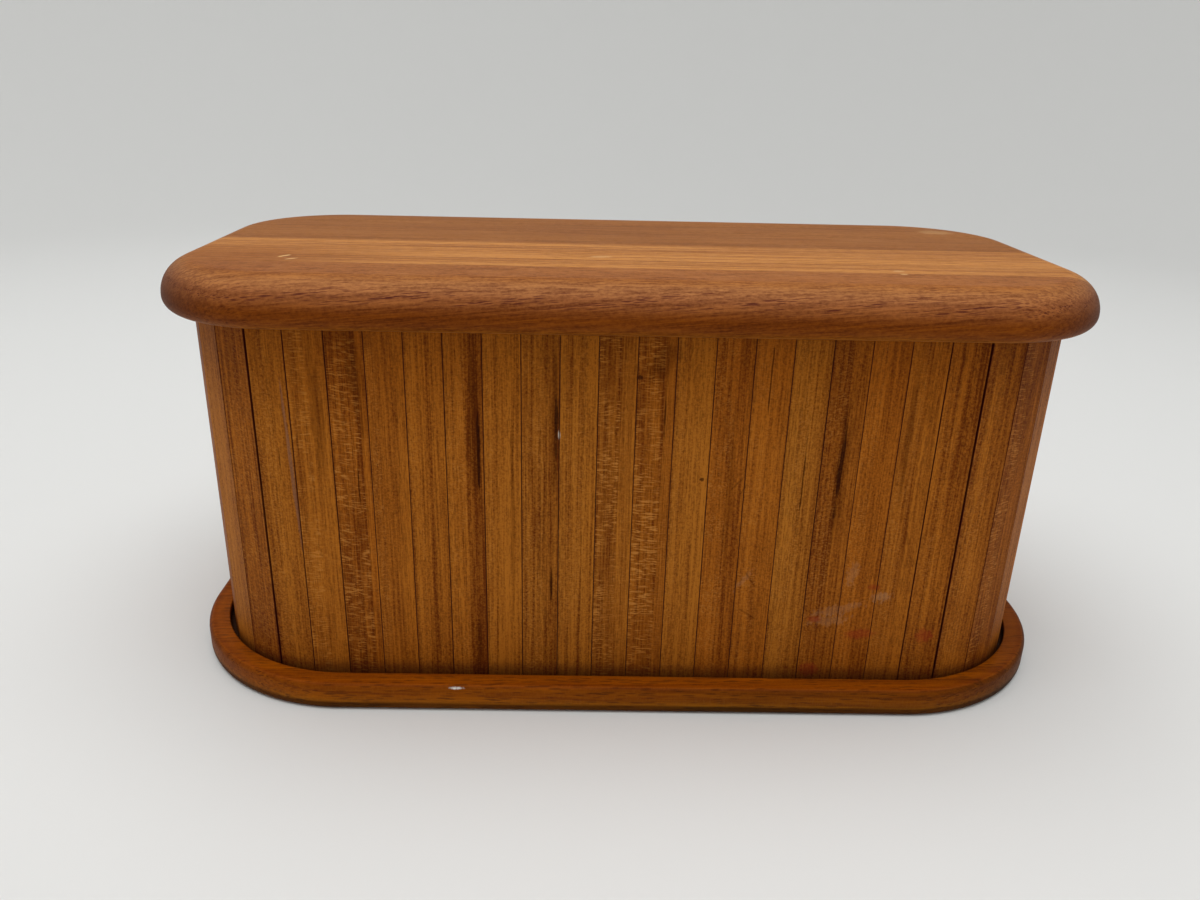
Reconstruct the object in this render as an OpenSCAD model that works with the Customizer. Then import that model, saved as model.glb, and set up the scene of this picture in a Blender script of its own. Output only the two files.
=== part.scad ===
// Box with a tambour wall and a lift-off lid, in oiled teak.
// Narrow upright slats, glued side by side to canvas, wrap round a floor panel below
// and a stiffening ring above. Their feet stand in a recess in the base, inside its
// raised rim. The lid is three boards glued edge to edge over a locating panel.
// Millimetres, +Z up. The origin is under the middle of the base; the front is -Y.

/* [Wall of slats] */
// Length of the wall, outside
wall_l = 311; // [260:1:400]
// Depth of the wall, outside
wall_d = 140; // [120:1:200]
// Radius of the wall's corners, outside
wall_r = 47; // [36:1:54]
// Height of a slat
wall_h = 131; // [90:1:200]
// Pitch of the slats, as near as an even spacing comes to it
slat_pitch = 12.7; // [11:0.1:16]
// Thickness of a slat
slat_t = 4; // [3:0.1:6]
// Hairline left between two slats
slat_gap = 0.2; // [0.1:0.05:0.5]
// Arris taken off the two outer long edges of a slat
slat_arris = 0.2; // [0.1:0.1:0.8]
// The middle joint of the front stands this far to the right of centre
joint_shift = 1; // [-6:0.1:6]

/* [Canvas] */
// Thickness of the canvas behind the slats
canvas_t = 0.6; // [0.4:0.1:1]
// The canvas stops this far short of both ends of the slats
canvas_inset = 1.5; // [0:0.5:4]

/* [Floor and ring] */
// Thickness of the floor panel that the wall is wrapped round
floor_t = 10; // [8:0.5:16]
// Width of the ring inside the top of the wall
ring_w = 8; // [5:0.5:12]
// Height of the ring
ring_h = 12; // [8:0.5:20]

/* [Base] */
// Thickness of the base board at its rim
base_t = 10.5; // [9:0.5:16]
// Width of the rim
rim_w = 8; // [5:0.5:14]
// Depth of the recess inside the rim
recess_depth = 4; // [2:0.5:5]
// Room between the rim and the slats along the flat sides
recess_gap = 3.5; // [2.5:0.5:6]
// The recess's corners are rounder than the wall's by this many times that room
corner_spread = 2.7; // [1:0.1:2.7]
// Radius that the base's edges are rounded to
base_edge = 2.2; // [0.5:0.1:3]

/* [Lid] */
// Thickness of the lid
lid_t = 17; // [16:0.5:24]
// The lid reaches this far past the slats at its two ends
lid_overhang_end = 7.5; // [5:0.5:14]
// The lid reaches this far past the slats at the front and the back
lid_overhang_front = 6; // [5:0.5:14]
// Radius of the lid's corners in plan
lid_r = 46; // [36:1:60]
// Radius of the upper part of the lid's round edge
lid_edge_top = 12; // [8:0.5:13]
// Width of the front board
front_board_w = 28.5; // [20:0.5:45]
// Width of the middle board
middle_board_w = 47.5; // [30:0.5:60]
// Thickness of the locating panel under the lid
panel_t = 8; // [4:0.5:10]
// Room between the locating panel and the ring
panel_gap = 1; // [0.5:0.1:3]

/* [Screws] */
// Diameter of a screw's shank
screw_d = 3.5; // [3:0.5:5]
// Diameter of a screw's countersunk head
screw_head_d = 7; // [6:0.5:9]
// Length of a screw
screw_l = 14; // [10:0.5:16]
// A screw stands this far in from the wall's long and short sides
screw_in = 45; // [35:1:55]
// The heads are sunk this far below the underside
screw_sunk = 0.4; // [0.2:0.1:1]
// Room round a screw in its hole
screw_fit = 0.05; // [0.02:0.01:0.2]

/* [Hidden] */
$fn = 96;
cut = 0.01;

// Colours
two_browns = ["#9a5c24", "#8a4f1e"];
plywood = "#c79a62";
canvas = "#cdbd97";
brass = "#b98f3e";
base_teak = "#8f4b1f";
front_teak = "#a0602f";
middle_teak = "#b9794a";
back_teak = "#a5653a";

// Heights
recess_z = base_t - recess_depth;
wall_top = recess_z + wall_h;

// The canvas line: the outline on which the slats' backs meet, as lengths of its
// straights and quarter rounds, starting at the middle of the front
line_r = wall_r - slat_t;
half_l = wall_l / 2 - wall_r;
half_d = wall_d / 2 - wall_r;
quarter = line_r * PI / 2;
legs = [half_l, quarter, 2 * half_d, quarter, 2 * half_l, quarter, 2 * half_d, quarter, half_l];
line_len = 4 * half_l + 4 * half_d + 4 * quarter;

// Slats: numbered from the front's middle joint, to the right when positive
slat_count = round(line_len / slat_pitch);
pitch = line_len / slat_count;
slat_chord = 2 * line_r * sin(pitch / line_r * 90 / PI);
slat_w = slat_chord - slat_gap;

// Front and corner slats that face forwards are single pieces; the others go in groups
front_count = 27;
front_first = -13;
group_count = 18;
rest_first = front_first + front_count;
rest_count = slat_count - front_count;

// Inside faces
inner_l = wall_l - 2 * (slat_t + canvas_t);
inner_d = wall_d - 2 * (slat_t + canvas_t);
inner_r = wall_r - slat_t - canvas_t;
mouth_l = inner_l - 2 * ring_w;
mouth_d = inner_d - 2 * ring_w;
mouth_r = inner_r - ring_w;

// A countersunk head is a right-angled cone with a straight slot across it
head_h = (screw_head_d - screw_d) / 2;
head_slot = screw_head_d / 7;

// Base and lid outlines
recess_l = wall_l + 2 * recess_gap;
recess_d = wall_d + 2 * recess_gap;
recess_r = wall_r + corner_spread * recess_gap;
lid_l = wall_l + 2 * lid_overhang_end;
lid_d = wall_d + 2 * lid_overhang_front;
lid_edge_under = lid_t - lid_edge_top;
seam_front = -lid_d / 2 + front_board_w;
seam_back = seam_front + middle_board_w;

function two(n) = str(n < 10 ? "0" : "", n);
function front_name(n) = str("front_slat_", two(n));
function group_name(n) = str("back_slats_", two(n));

// Direction h and the side to its left
function ahead(h) = [cos(h), sin(h)];
function leftward(h) = [-sin(h), cos(h)];

// Place and heading on the canvas line, s along it from the middle of the front.
// Even legs are straights, odd legs are quarter rounds that turn left.
function walk(s, p, h, i) =
    s <= legs[i] || i == len(legs) - 1
        ? (i % 2 == 0 ? [p + s * ahead(h), h] : along_round(s, p, h))
        : i % 2 == 0
            ? walk(s - legs[i], p + legs[i] * ahead(h), h, i + 1)
            : walk(s - legs[i], along_round(legs[i], p, h)[0], h + 90, i + 1);
function along_round(s, p, h) =
    let (turned = h + s / line_r * 180 / PI)
    [p + line_r * (leftward(h) - leftward(turned)), turned];
function on_line(s) =
    let (start = [0, -(wall_d / 2 - slat_t)])
    walk(s - line_len * floor(s / line_len), start, 0, 0);

// Joint k between two slats, moved in from the canvas line by depth
function joint(k, depth = 0) =
    let (at = on_line(joint_shift + k * pitch))
    at[0] + depth * leftward(at[1]);
function joint_outline(depth) = [for (k = [0 : slat_count - 1]) joint(k, depth)];

// Which way the back of slat k lies, and how far a slat's edge at joint k is planed
// off square there, as a slope, so that the joint stays as tight outside as behind
function slat_heading(k) =
    let (run = joint(k + 1) - joint(k))
    atan2(run[1], run[0]);
function edge_slope(k) =
    let (turn = slat_heading(k) - slat_heading(k - 1))
    tan((turn - 360 * round(turn / 360)) / 2);

// A rectangle with rounded corners, about the origin
module rounded(l, d, r) {
    square([l - 2 * r, d], center = true);
    square([l, d - 2 * r], center = true);
    for (x = [-1, 1], y = [-1, 1])
        translate([x * (l / 2 - r), y * (d / 2 - r)])
            circle(r);
}

// Section through a slab's edge, r wide from the corner's centre, t thick, its outer
// corners rounded to upper and under
module edge_section(r, t, upper, under) {
    difference() {
        square([r, t]);
        translate([r - upper, t - upper])
            difference() {
                square(upper + cut);
                circle(upper);
            }
        translate([r - under, -cut])
            difference() {
                square([under + cut, under + cut]);
                translate([0, under + cut])
                    circle(under);
            }
    }
}

// A slab l by d with corners of radius r in plan and a rounded edge all round
module slab(l, d, r, t, upper, under) {
    a = l / 2 - r;
    b = d / 2 - r;
    translate([-a, -b, 0])
        cube([2 * a, 2 * b, t]);
    for (q = [0 : 3])
        rotate(90 * q) {
            reach = q % 2 == 0 ? a : b;
            side = q % 2 == 0 ? b : a;
            translate([reach, 0, 0])
                rotate([90, 0, 0])
                    linear_extrude(2 * side, center = true)
                        edge_section(r, t, upper, under);
            translate([reach, side, 0])
                rotate_extrude(angle = 90)
                    edge_section(r, t, upper, under);
        }
}

// One slat of the wall: k is the joint at its left end, seen from outside
module slat(k) {
    middle = (joint(k) + joint(k + 1)) / 2;
    half = slat_w / 2;
    shoulder = slat_t - slat_arris;
    left = edge_slope(k);
    right = edge_slope(k + 1);
    translate([middle[0], middle[1], recess_z])
        rotate(slat_heading(k))
            linear_extrude(wall_h)
                polygon([
                    [-half, 0],
                    [-half - shoulder * left, -shoulder],
                    [-half - slat_t * left + slat_arris, -slat_t],
                    [half + slat_t * right - slat_arris, -slat_t],
                    [half + shoulder * right, -shoulder],
                    [half, 0],
                ]);
}

module front_slat(n) {
    color(two_browns[n % 2])
        slat(front_first + n - 1);
}

// Group n of the slats that the front view doesn't show
module back_slats(n) {
    from = rest_first + floor((n - 1) * rest_count / group_count);
    to = rest_first + floor(n * rest_count / group_count) - 1;
    color(two_browns[n % 2])
        for (k = [from : to])
            slat(k);
}

module canvas_backing() {
    color(canvas)
        translate([0, 0, recess_z + canvas_inset])
            linear_extrude(wall_h - 2 * canvas_inset)
                difference() {
                    polygon(joint_outline(0));
                    polygon(joint_outline(canvas_t));
                }
}

module top_ring() {
    color(plywood)
        translate([0, 0, wall_top - ring_h])
            linear_extrude(ring_h)
                difference() {
                    polygon(joint_outline(canvas_t));
                    rounded(mouth_l, mouth_d, mouth_r);
                }
}

module at_screws() {
    for (x = [-1, 1], y = [-1, 1])
        translate([x * (wall_l / 2 - screw_in), y * (wall_d / 2 - screw_in), 0])
            children();
}

// A screw's outline with room round it: shank, countersunk head and the hole below it
module screw_hole() {
    translate([0, 0, -cut])
        cylinder(h = screw_sunk + 2 * cut, d = screw_head_d + 2 * screw_fit);
    translate([0, 0, screw_sunk])
        cylinder(h = head_h, d1 = screw_head_d + 2 * screw_fit, d2 = screw_d + 2 * screw_fit);
    cylinder(h = screw_sunk + screw_l + screw_fit, d = screw_d + 2 * screw_fit);
}

module base_screws() {
    color(brass)
        at_screws()
            translate([0, 0, screw_sunk])
                difference() {
                    union() {
                        cylinder(h = head_h, d1 = screw_head_d, d2 = screw_d);
                        cylinder(h = screw_l, d = screw_d);
                    }
                    translate([-screw_head_d, -head_slot / 2, -cut])
                        cube([2 * screw_head_d, head_slot, head_slot + cut]);
                }
}

module floor_panel() {
    color(plywood)
        difference() {
            translate([0, 0, recess_z])
                linear_extrude(floor_t)
                    polygon(joint_outline(canvas_t));
            at_screws()
                screw_hole();
        }
}

module base_board() {
    color(base_teak)
        difference() {
            slab(recess_l + 2 * rim_w, recess_d + 2 * rim_w, recess_r + rim_w,
                base_t, base_edge, base_edge);
            translate([0, 0, recess_z])
                linear_extrude(recess_depth + cut)
                    rounded(recess_l, recess_d, recess_r);
            at_screws()
                screw_hole();
        }
}

// The part of the lid between two lines across its depth
module lid_board(from, to) {
    intersection() {
        translate([0, 0, wall_top])
            slab(lid_l, lid_d, lid_r, lid_t, lid_edge_top, lid_edge_under);
        translate([-lid_l, from, wall_top - cut])
            cube([2 * lid_l, to - from, lid_t + 2 * cut]);
    }
}

module lid_board_front() {
    color(front_teak)
        lid_board(-lid_d, seam_front);
}

module lid_board_middle() {
    color(middle_teak)
        lid_board(seam_front, seam_back);
}

module lid_board_back() {
    color(back_teak)
        lid_board(seam_back, lid_d);
}

module lid_panel() {
    color(plywood)
        translate([0, 0, wall_top - panel_t])
            linear_extrude(panel_t)
                rounded(mouth_l - 2 * panel_gap, mouth_d - 2 * panel_gap, mouth_r - panel_gap);
}

base_board();
floor_panel();
base_screws();
canvas_backing();
top_ring();
lid_board_front();
lid_board_middle();
lid_board_back();
lid_panel();
for (n = [1 : front_count])
    front_slat(n);
for (n = [1 : group_count])
    back_slats(n);
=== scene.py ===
import random
from math import cos, pi, radians, sin, tan

import bmesh
import bpy
from mathutils import Matrix, Vector


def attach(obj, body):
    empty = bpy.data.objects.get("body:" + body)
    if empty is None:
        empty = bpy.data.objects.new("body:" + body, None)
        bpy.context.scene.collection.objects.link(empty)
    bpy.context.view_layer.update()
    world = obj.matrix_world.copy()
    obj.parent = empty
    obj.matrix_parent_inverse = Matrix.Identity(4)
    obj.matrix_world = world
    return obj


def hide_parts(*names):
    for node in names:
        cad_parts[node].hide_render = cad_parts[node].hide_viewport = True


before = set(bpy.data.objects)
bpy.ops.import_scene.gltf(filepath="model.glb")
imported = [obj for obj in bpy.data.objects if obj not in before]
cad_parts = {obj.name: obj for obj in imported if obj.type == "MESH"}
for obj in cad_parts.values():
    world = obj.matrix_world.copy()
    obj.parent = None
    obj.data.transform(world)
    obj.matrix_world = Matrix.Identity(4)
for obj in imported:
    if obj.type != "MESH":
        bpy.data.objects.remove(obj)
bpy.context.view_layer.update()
MM = 0.001

# ============================================================== viewpoint
# The box stands on a table and is seen from the front, a little above the
# lid, by a camera held in the hand and turned slightly to the left.

EYE = Vector((-18.96, -364.71, 214.83)) * MM
TURNED_RIGHT, LOOKING_DOWN, HELD_ASKEW = 0.0161, 0.3782, 0.02285
LENS, FRAME_SHIFT = 28.41, 0.0090


def placed(name, data):
    """An object in the scene's collection, from its mesh, lamp or camera."""
    made = bpy.data.objects.new(name, data)
    bpy.context.scene.collection.objects.link(made)
    return made


camera = placed("camera", bpy.data.cameras.new("camera"))
camera.data.lens = LENS
camera.data.sensor_width = 36.0
camera.data.shift_x = FRAME_SHIFT
camera.data.clip_start, camera.data.clip_end = 0.01, 20.0
camera.matrix_world = (
    Matrix.Translation(EYE)
    @ Matrix.Rotation(-TURNED_RIGHT, 4, "Z")
    @ Matrix.Rotation(pi / 2 - LOOKING_DOWN, 4, "X")
    @ Matrix.Rotation(HELD_ASKEW, 4, "Z")
)
bpy.context.scene.camera = camera
bpy.context.scene.view_settings.view_transform = "Standard"


# ============================================================ pale surround
# A sheet of matt pale board that lies flat under the box and curves up all
# round it, with a wide soft lamp above and the room's own weak light.

FLOOR_FLAT, FLOOR_BEND, WALL_TOP = 1.15, 0.85, 2.1
FLOOR_COLOUR = (0.76, 0.762, 0.75, 1)
LAMP_PLACE, LAMP_AIM = (-0.07, -0.13, 1.65), (-0.02, -0.05, 0)
LAMP_SIZE, LAMP_POWER, ROOM_LIGHT = (2.1, 1.8), 29.0, 0.2


def mesh_object(name, points, faces, smooth=True):
    """A mesh object, from its points and faces."""
    mesh = bpy.data.meshes.new(name)
    mesh.from_pydata(points, [], faces)
    mesh.shade_smooth() if smooth else mesh.shade_flat()
    return placed(name, mesh)


def pale_surround():
    """The board: a disc, a quarter bend and an upright wall round it."""
    steps, turns, middle_disc = 24, 96, 0.3
    profile = [(middle_disc, 0.0), (FLOOR_FLAT, 0.0)]
    for i in range(1, steps + 1):
        a = pi / 2 * i / steps
        profile.append((FLOOR_FLAT + FLOOR_BEND * sin(a), FLOOR_BEND * (1 - cos(a))))
    profile.append((FLOOR_FLAT + FLOOR_BEND, WALL_TOP))
    points = [
        (r * cos(2 * pi * t / turns), r * sin(2 * pi * t / turns), z)
        for r, z in profile
        for t in range(turns)
    ]
    faces = [tuple(range(turns))]
    for ring in range(len(profile) - 1):
        for t in range(turns):
            a, b = ring * turns + t, ring * turns + (t + 1) % turns
            faces.append((a, a + turns, b + turns, b))
    return mesh_object("pale_surround", points, faces)


surround = pale_surround()
board = bpy.data.materials.new("matt pale board")
board.use_nodes = True
board_face = board.node_tree.nodes["Principled BSDF"]
board_face.inputs["Base Color"].default_value = FLOOR_COLOUR
board_face.inputs["Roughness"].default_value = 0.85
board_face.inputs["Specular IOR Level"].default_value = 0.2
surround.data.materials.append(board)


def soft_lamp():
    """A wide rectangular lamp above the box, facing it."""
    lamp = placed("lamp_above", bpy.data.lights.new("lamp_above", "AREA"))
    lamp.data.shape = "RECTANGLE"
    lamp.data.size, lamp.data.size_y = LAMP_SIZE
    lamp.data.energy = LAMP_POWER
    lamp.location = LAMP_PLACE
    lamp.rotation_mode = "QUATERNION"
    away = Vector(LAMP_PLACE) - Vector(LAMP_AIM)
    lamp.rotation_quaternion = away.to_track_quat("Z", "Y")


soft_lamp()
room = bpy.data.worlds.new("room light")
bpy.context.scene.world = room
room.use_nodes = True
room_light = room.node_tree.nodes["Background"]
room_light.inputs["Color"].default_value = (1, 1, 1, 1)
room_light.inputs["Strength"].default_value = ROOM_LIGHT


# ============================================================== base board
# One flat piece of teak with a raised rim round a shallow recess, routed
# out of the solid along a former, its outer edges eased and then rubbed.

BASE_SIZE = (334.0, 163.0, 64.45)
BASE_THICK, RIM_WIDE, RECESS_FLOOR = 10.5, 8.0, 6.5
BASE_EASING, RIM_INNER_EASING = 2.2, 0.5
# How far in from the outline the shell is capped, and the angle in degrees
# past which a bend is a crease.
CAP_INSET, CREASE = 12.0, 35
# The outer side's colour from its foot to its top edge: dark with painted shade
# where it turns under, palest just above that, then deeper.
SIDE_TONES = (
    (0.0, (0.3, 0.4, 0.8)), (0.27, (0.3, 0.4, 0.8)), (0.36, (1.0, 1.35, 3.5)),
    (0.45, (0.98, 1.2, 2.8)), (0.6, (0.93, 1.03, 2.2)), (0.76, (0.84, 0.9, 1.6)),
    (0.9, (0.74, 0.76, 1.0)), (1.0, (0.7, 0.6, 0.3)),
)
# The rim's top is browned by handling near its outer edge: most up to the
# first of these insets, and not past the second. Then the stretches of the
# front and of the end along which the sides deepen towards the right.
HANDLED = (1.6, 4.4)
DEEPER_FRONT, DEEPER_END = (-50.0, 60.0), (100.0, 150.0)
NICK_MIDDLE, NICK_REACH = (-60.0, -81.4, 9.8), (3.4, 1.0, 0.75)


def millimetres(*lengths):
    """A place or a size in millimetres, as the scene's metres."""
    return tuple(length * MM for length in lengths)


def outline(length, width, radius):
    """A rectangle with rounded corners, anticlockwise from above."""
    points, per_corner = [], 30
    for side_x, side_y, start in ((1, -1, -90), (1, 1, 0), (-1, 1, 90), (-1, -1, 180)):
        for i in range(per_corner + 1):
            a = radians(start + 90 * i / per_corner)
            points.append((side_x * (length / 2 - radius) + radius * cos(a),
                           side_y * (width / 2 - radius) + radius * sin(a)))
    return points


def eased(inset, height, radius, start, end, steps):
    """Rings of an eased edge: an arc about (inset, height), in degrees."""
    rings = []
    for i in range(steps + 1):
        a = radians(start + (end - start) * i / steps)
        rings.append((inset - radius * cos(a), height + radius * sin(a)))
    return rings


def moulded(name, size, rings):
    """A closed solid whose section, as (inset, height), runs round one
    rounded outline; its first and last rings are capped."""
    length, width, radius = size
    points = []
    for inset, height in rings:
        for x, y in outline(length - 2 * inset, width - 2 * inset, radius - inset):
            points.append(millimetres(x, y, height))
    around = len(points) // len(rings)
    faces = []
    for low in range(0, len(points) - around, around):
        high = low + around
        for i in range(around):
            j = (i + 1) % around
            faces.append((low + i, low + j, high + j, high + i))
    faces.append(tuple(range(around)))
    faces.append(tuple(range(len(points) - around, len(points))))
    made = mesh_object(name, points, faces)
    loose = bmesh.new()
    loose.from_mesh(made.data)
    bmesh.ops.recalc_face_normals(loose, faces=loose.faces)
    loose.to_mesh(made.data)
    loose.free()
    made.data.set_sharp_from_angle(angle=radians(CREASE))
    return made


base_rings = [(CAP_INSET, 0.0)]
base_rings += eased(BASE_EASING, BASE_EASING, BASE_EASING, -90, 0, 6)
base_rings += eased(BASE_EASING, BASE_THICK - BASE_EASING, BASE_EASING, 0, 90, 6)
base_rings += eased(
    RIM_WIDE - RIM_INNER_EASING, BASE_THICK - RIM_INNER_EASING, RIM_INNER_EASING, 90, 180, 3
)
base_rings += [(RIM_WIDE, RECESS_FLOOR), (CAP_INSET, RECESS_FLOOR)]
base = moulded("rimmed_base", BASE_SIZE, base_rings)

SCREW_PLACES = [(x, y) for x in (-110.5, 110.5) for y in (-25.0, 25.0)]
SCREW_SUNK, HEAD_RADIUS, SHANK_RADIUS, SCREW_LONG = 0.4, 3.5, 1.75, 14.0
HOLE_PLAY, PAST_FACE = 0.05, 1.0


def lathed(name, profile, middle=(0, 0)):
    """A closed solid turned about an upright line, from (radius, height)."""
    points, steps = [], 32
    for r, z in profile:
        for t in range(steps):
            a = 2 * pi * t / steps
            points.append(millimetres(middle[0] + r * cos(a), middle[1] + r * sin(a), z))
    faces = [tuple(reversed(range(steps))), tuple(range(len(points) - steps, len(points)))]
    for ring in range(len(profile) - 1):
        for t in range(steps):
            a, b = ring * steps + t, ring * steps + (t + 1) % steps
            faces.append((a, b, b + steps, a + steps))
    return mesh_object(name, points, faces, smooth=False)


def carved(solid, tools):
    """Takes the tools' shapes out of a solid, and clears the tools away."""
    for tool in tools:
        cut = solid.modifiers.new("cut", "BOOLEAN")
        cut.operation, cut.solver, cut.object = "DIFFERENCE", "EXACT", tool
    seen = bpy.context.evaluated_depsgraph_get()
    mesh = bpy.data.meshes.new_from_object(solid.evaluated_get(seen), depsgraph=seen)
    solid.modifiers.clear()
    solid.data = mesh
    for tool in tools:
        bpy.data.objects.remove(tool)


countersink = [
    (HEAD_RADIUS + HOLE_PLAY, -PAST_FACE), (HEAD_RADIUS + HOLE_PLAY, SCREW_SUNK),
    (SHANK_RADIUS + HOLE_PLAY, SCREW_SUNK + HEAD_RADIUS - SHANK_RADIUS),
    (SHANK_RADIUS + HOLE_PLAY, RECESS_FLOOR + PAST_FACE),
]
carved(base, [lathed("countersink", countersink, place) for place in SCREW_PLACES])
base.data.set_sharp_from_angle(angle=radians(CREASE))


def wire(tree, kind, inputs=(), **settings):
    """Places a node, sets it up, and fills or joins its inputs."""
    node = tree.nodes.new(kind)
    for name, value in settings.items():
        setattr(node, name, value)
    for name, value in dict(inputs).items():
        if isinstance(value, bpy.types.NodeSocket):
            tree.links.new(value, node.inputs[name])
        else:
            node.inputs[name].default_value = value
    return node


def sums(tree, operation, *values, **settings):
    """One step of arithmetic on numbers."""
    given = dict(enumerate(values))
    return wire(tree, "ShaderNodeMath", given, operation=operation, **settings).outputs[0]


def moves(tree, operation, *values, by=None):
    """One step of arithmetic on places or directions."""
    given = dict(enumerate(values))
    if by is not None:
        given["Scale"] = by
    node = wire(tree, "ShaderNodeVectorMath", given, operation=operation)
    return node.outputs["Value" if operation == "LENGTH" else "Vector"]


def split(tree, vector):
    """The three parts of a place, a direction or a set of numbers."""
    return wire(tree, "ShaderNodeSeparateXYZ", {0: vector}).outputs


def joined(tree, x=0.0, y=0.0, z=0.0):
    """One place or direction from its three parts."""
    return wire(tree, "ShaderNodeCombineXYZ", {0: x, 1: y, 2: z}).outputs[0]


def fades(tree, value, low, high, start=0.0, end=1.0, smooth=True):
    """Takes a number from one range to another, held at its ends."""
    given = {"Value": value, "From Min": low, "From Max": high, "To Min": start, "To Max": end}
    kind = "SMOOTHSTEP" if smooth else "LINEAR"
    return wire(tree, "ShaderNodeMapRange", given, interpolation_type=kind).outputs[0]


def fades_over(tree, place, span, start=0.0, end=1.0):
    """The same along a length, over a span in millimetres."""
    return fades(tree, place, *millimetres(*span), start, end)


def blends(tree, share, first, second, kind="MIX"):
    """Lays one colour over another by a share."""
    given = {0: share, 6: first, 7: second}
    return wire(tree, "ShaderNodeMix", given, data_type="RGBA", blend_type=kind).outputs[2]


def ramped(tree, value, stops, bend="LINEAR"):
    """Looks a colour up on stops of (how far, colour), from 0 to 1."""
    node = wire(tree, "ShaderNodeValToRGB", {0: value})
    node.color_ramp.interpolation = bend
    kept = node.color_ramp.elements
    for how_far, _ in stops[1:-1]:
        kept.new(how_far)
    for stop, (_, colour) in zip(kept, stops):
        stop.color = (*colour, 1)
    return node.outputs[0]


def grain_noise(tree, place, stretch, scale, detail=2.0, rough=0.5, gives=0):
    """Cloudy noise, longer along the axes whose stretch is small."""
    at = moves(tree, "MULTIPLY", place, stretch)
    given = {"Vector": at, "Scale": scale, "Detail": detail, "Roughness": rough}
    return wire(tree, "ShaderNodeTexNoise", given).outputs[gives]


def grain_swing(tree, *noise):
    """The same noise, swinging either way about nought."""
    return sums(tree, "SUBTRACT", grain_noise(tree, *noise), 0.5)


def turned_about(tree, place, angle, axis):
    """Turns a place about one axis through the origin."""
    given = {"Vector": place, "Angle": angle}
    return wire(tree, "ShaderNodeVectorRotate", given, rotation_type=axis).outputs[0]


def new_group(name, takes, gives, kind="ShaderNodeTree"):
    """A node group with its named sockets, and its two end nodes."""
    tree = bpy.data.node_groups.new(name, kind)
    for socket, (holds, value) in takes.items():
        made = tree.interface.new_socket(socket, in_out="INPUT", socket_type="NodeSocket" + holds)
        if value is not None:
            made.default_value = value
    for socket, holds in gives.items():
        tree.interface.new_socket(socket, in_out="OUTPUT", socket_type="NodeSocket" + holds)
    return tree, tree.nodes.new("NodeGroupInput").outputs, tree.nodes.new("NodeGroupOutput")


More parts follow.
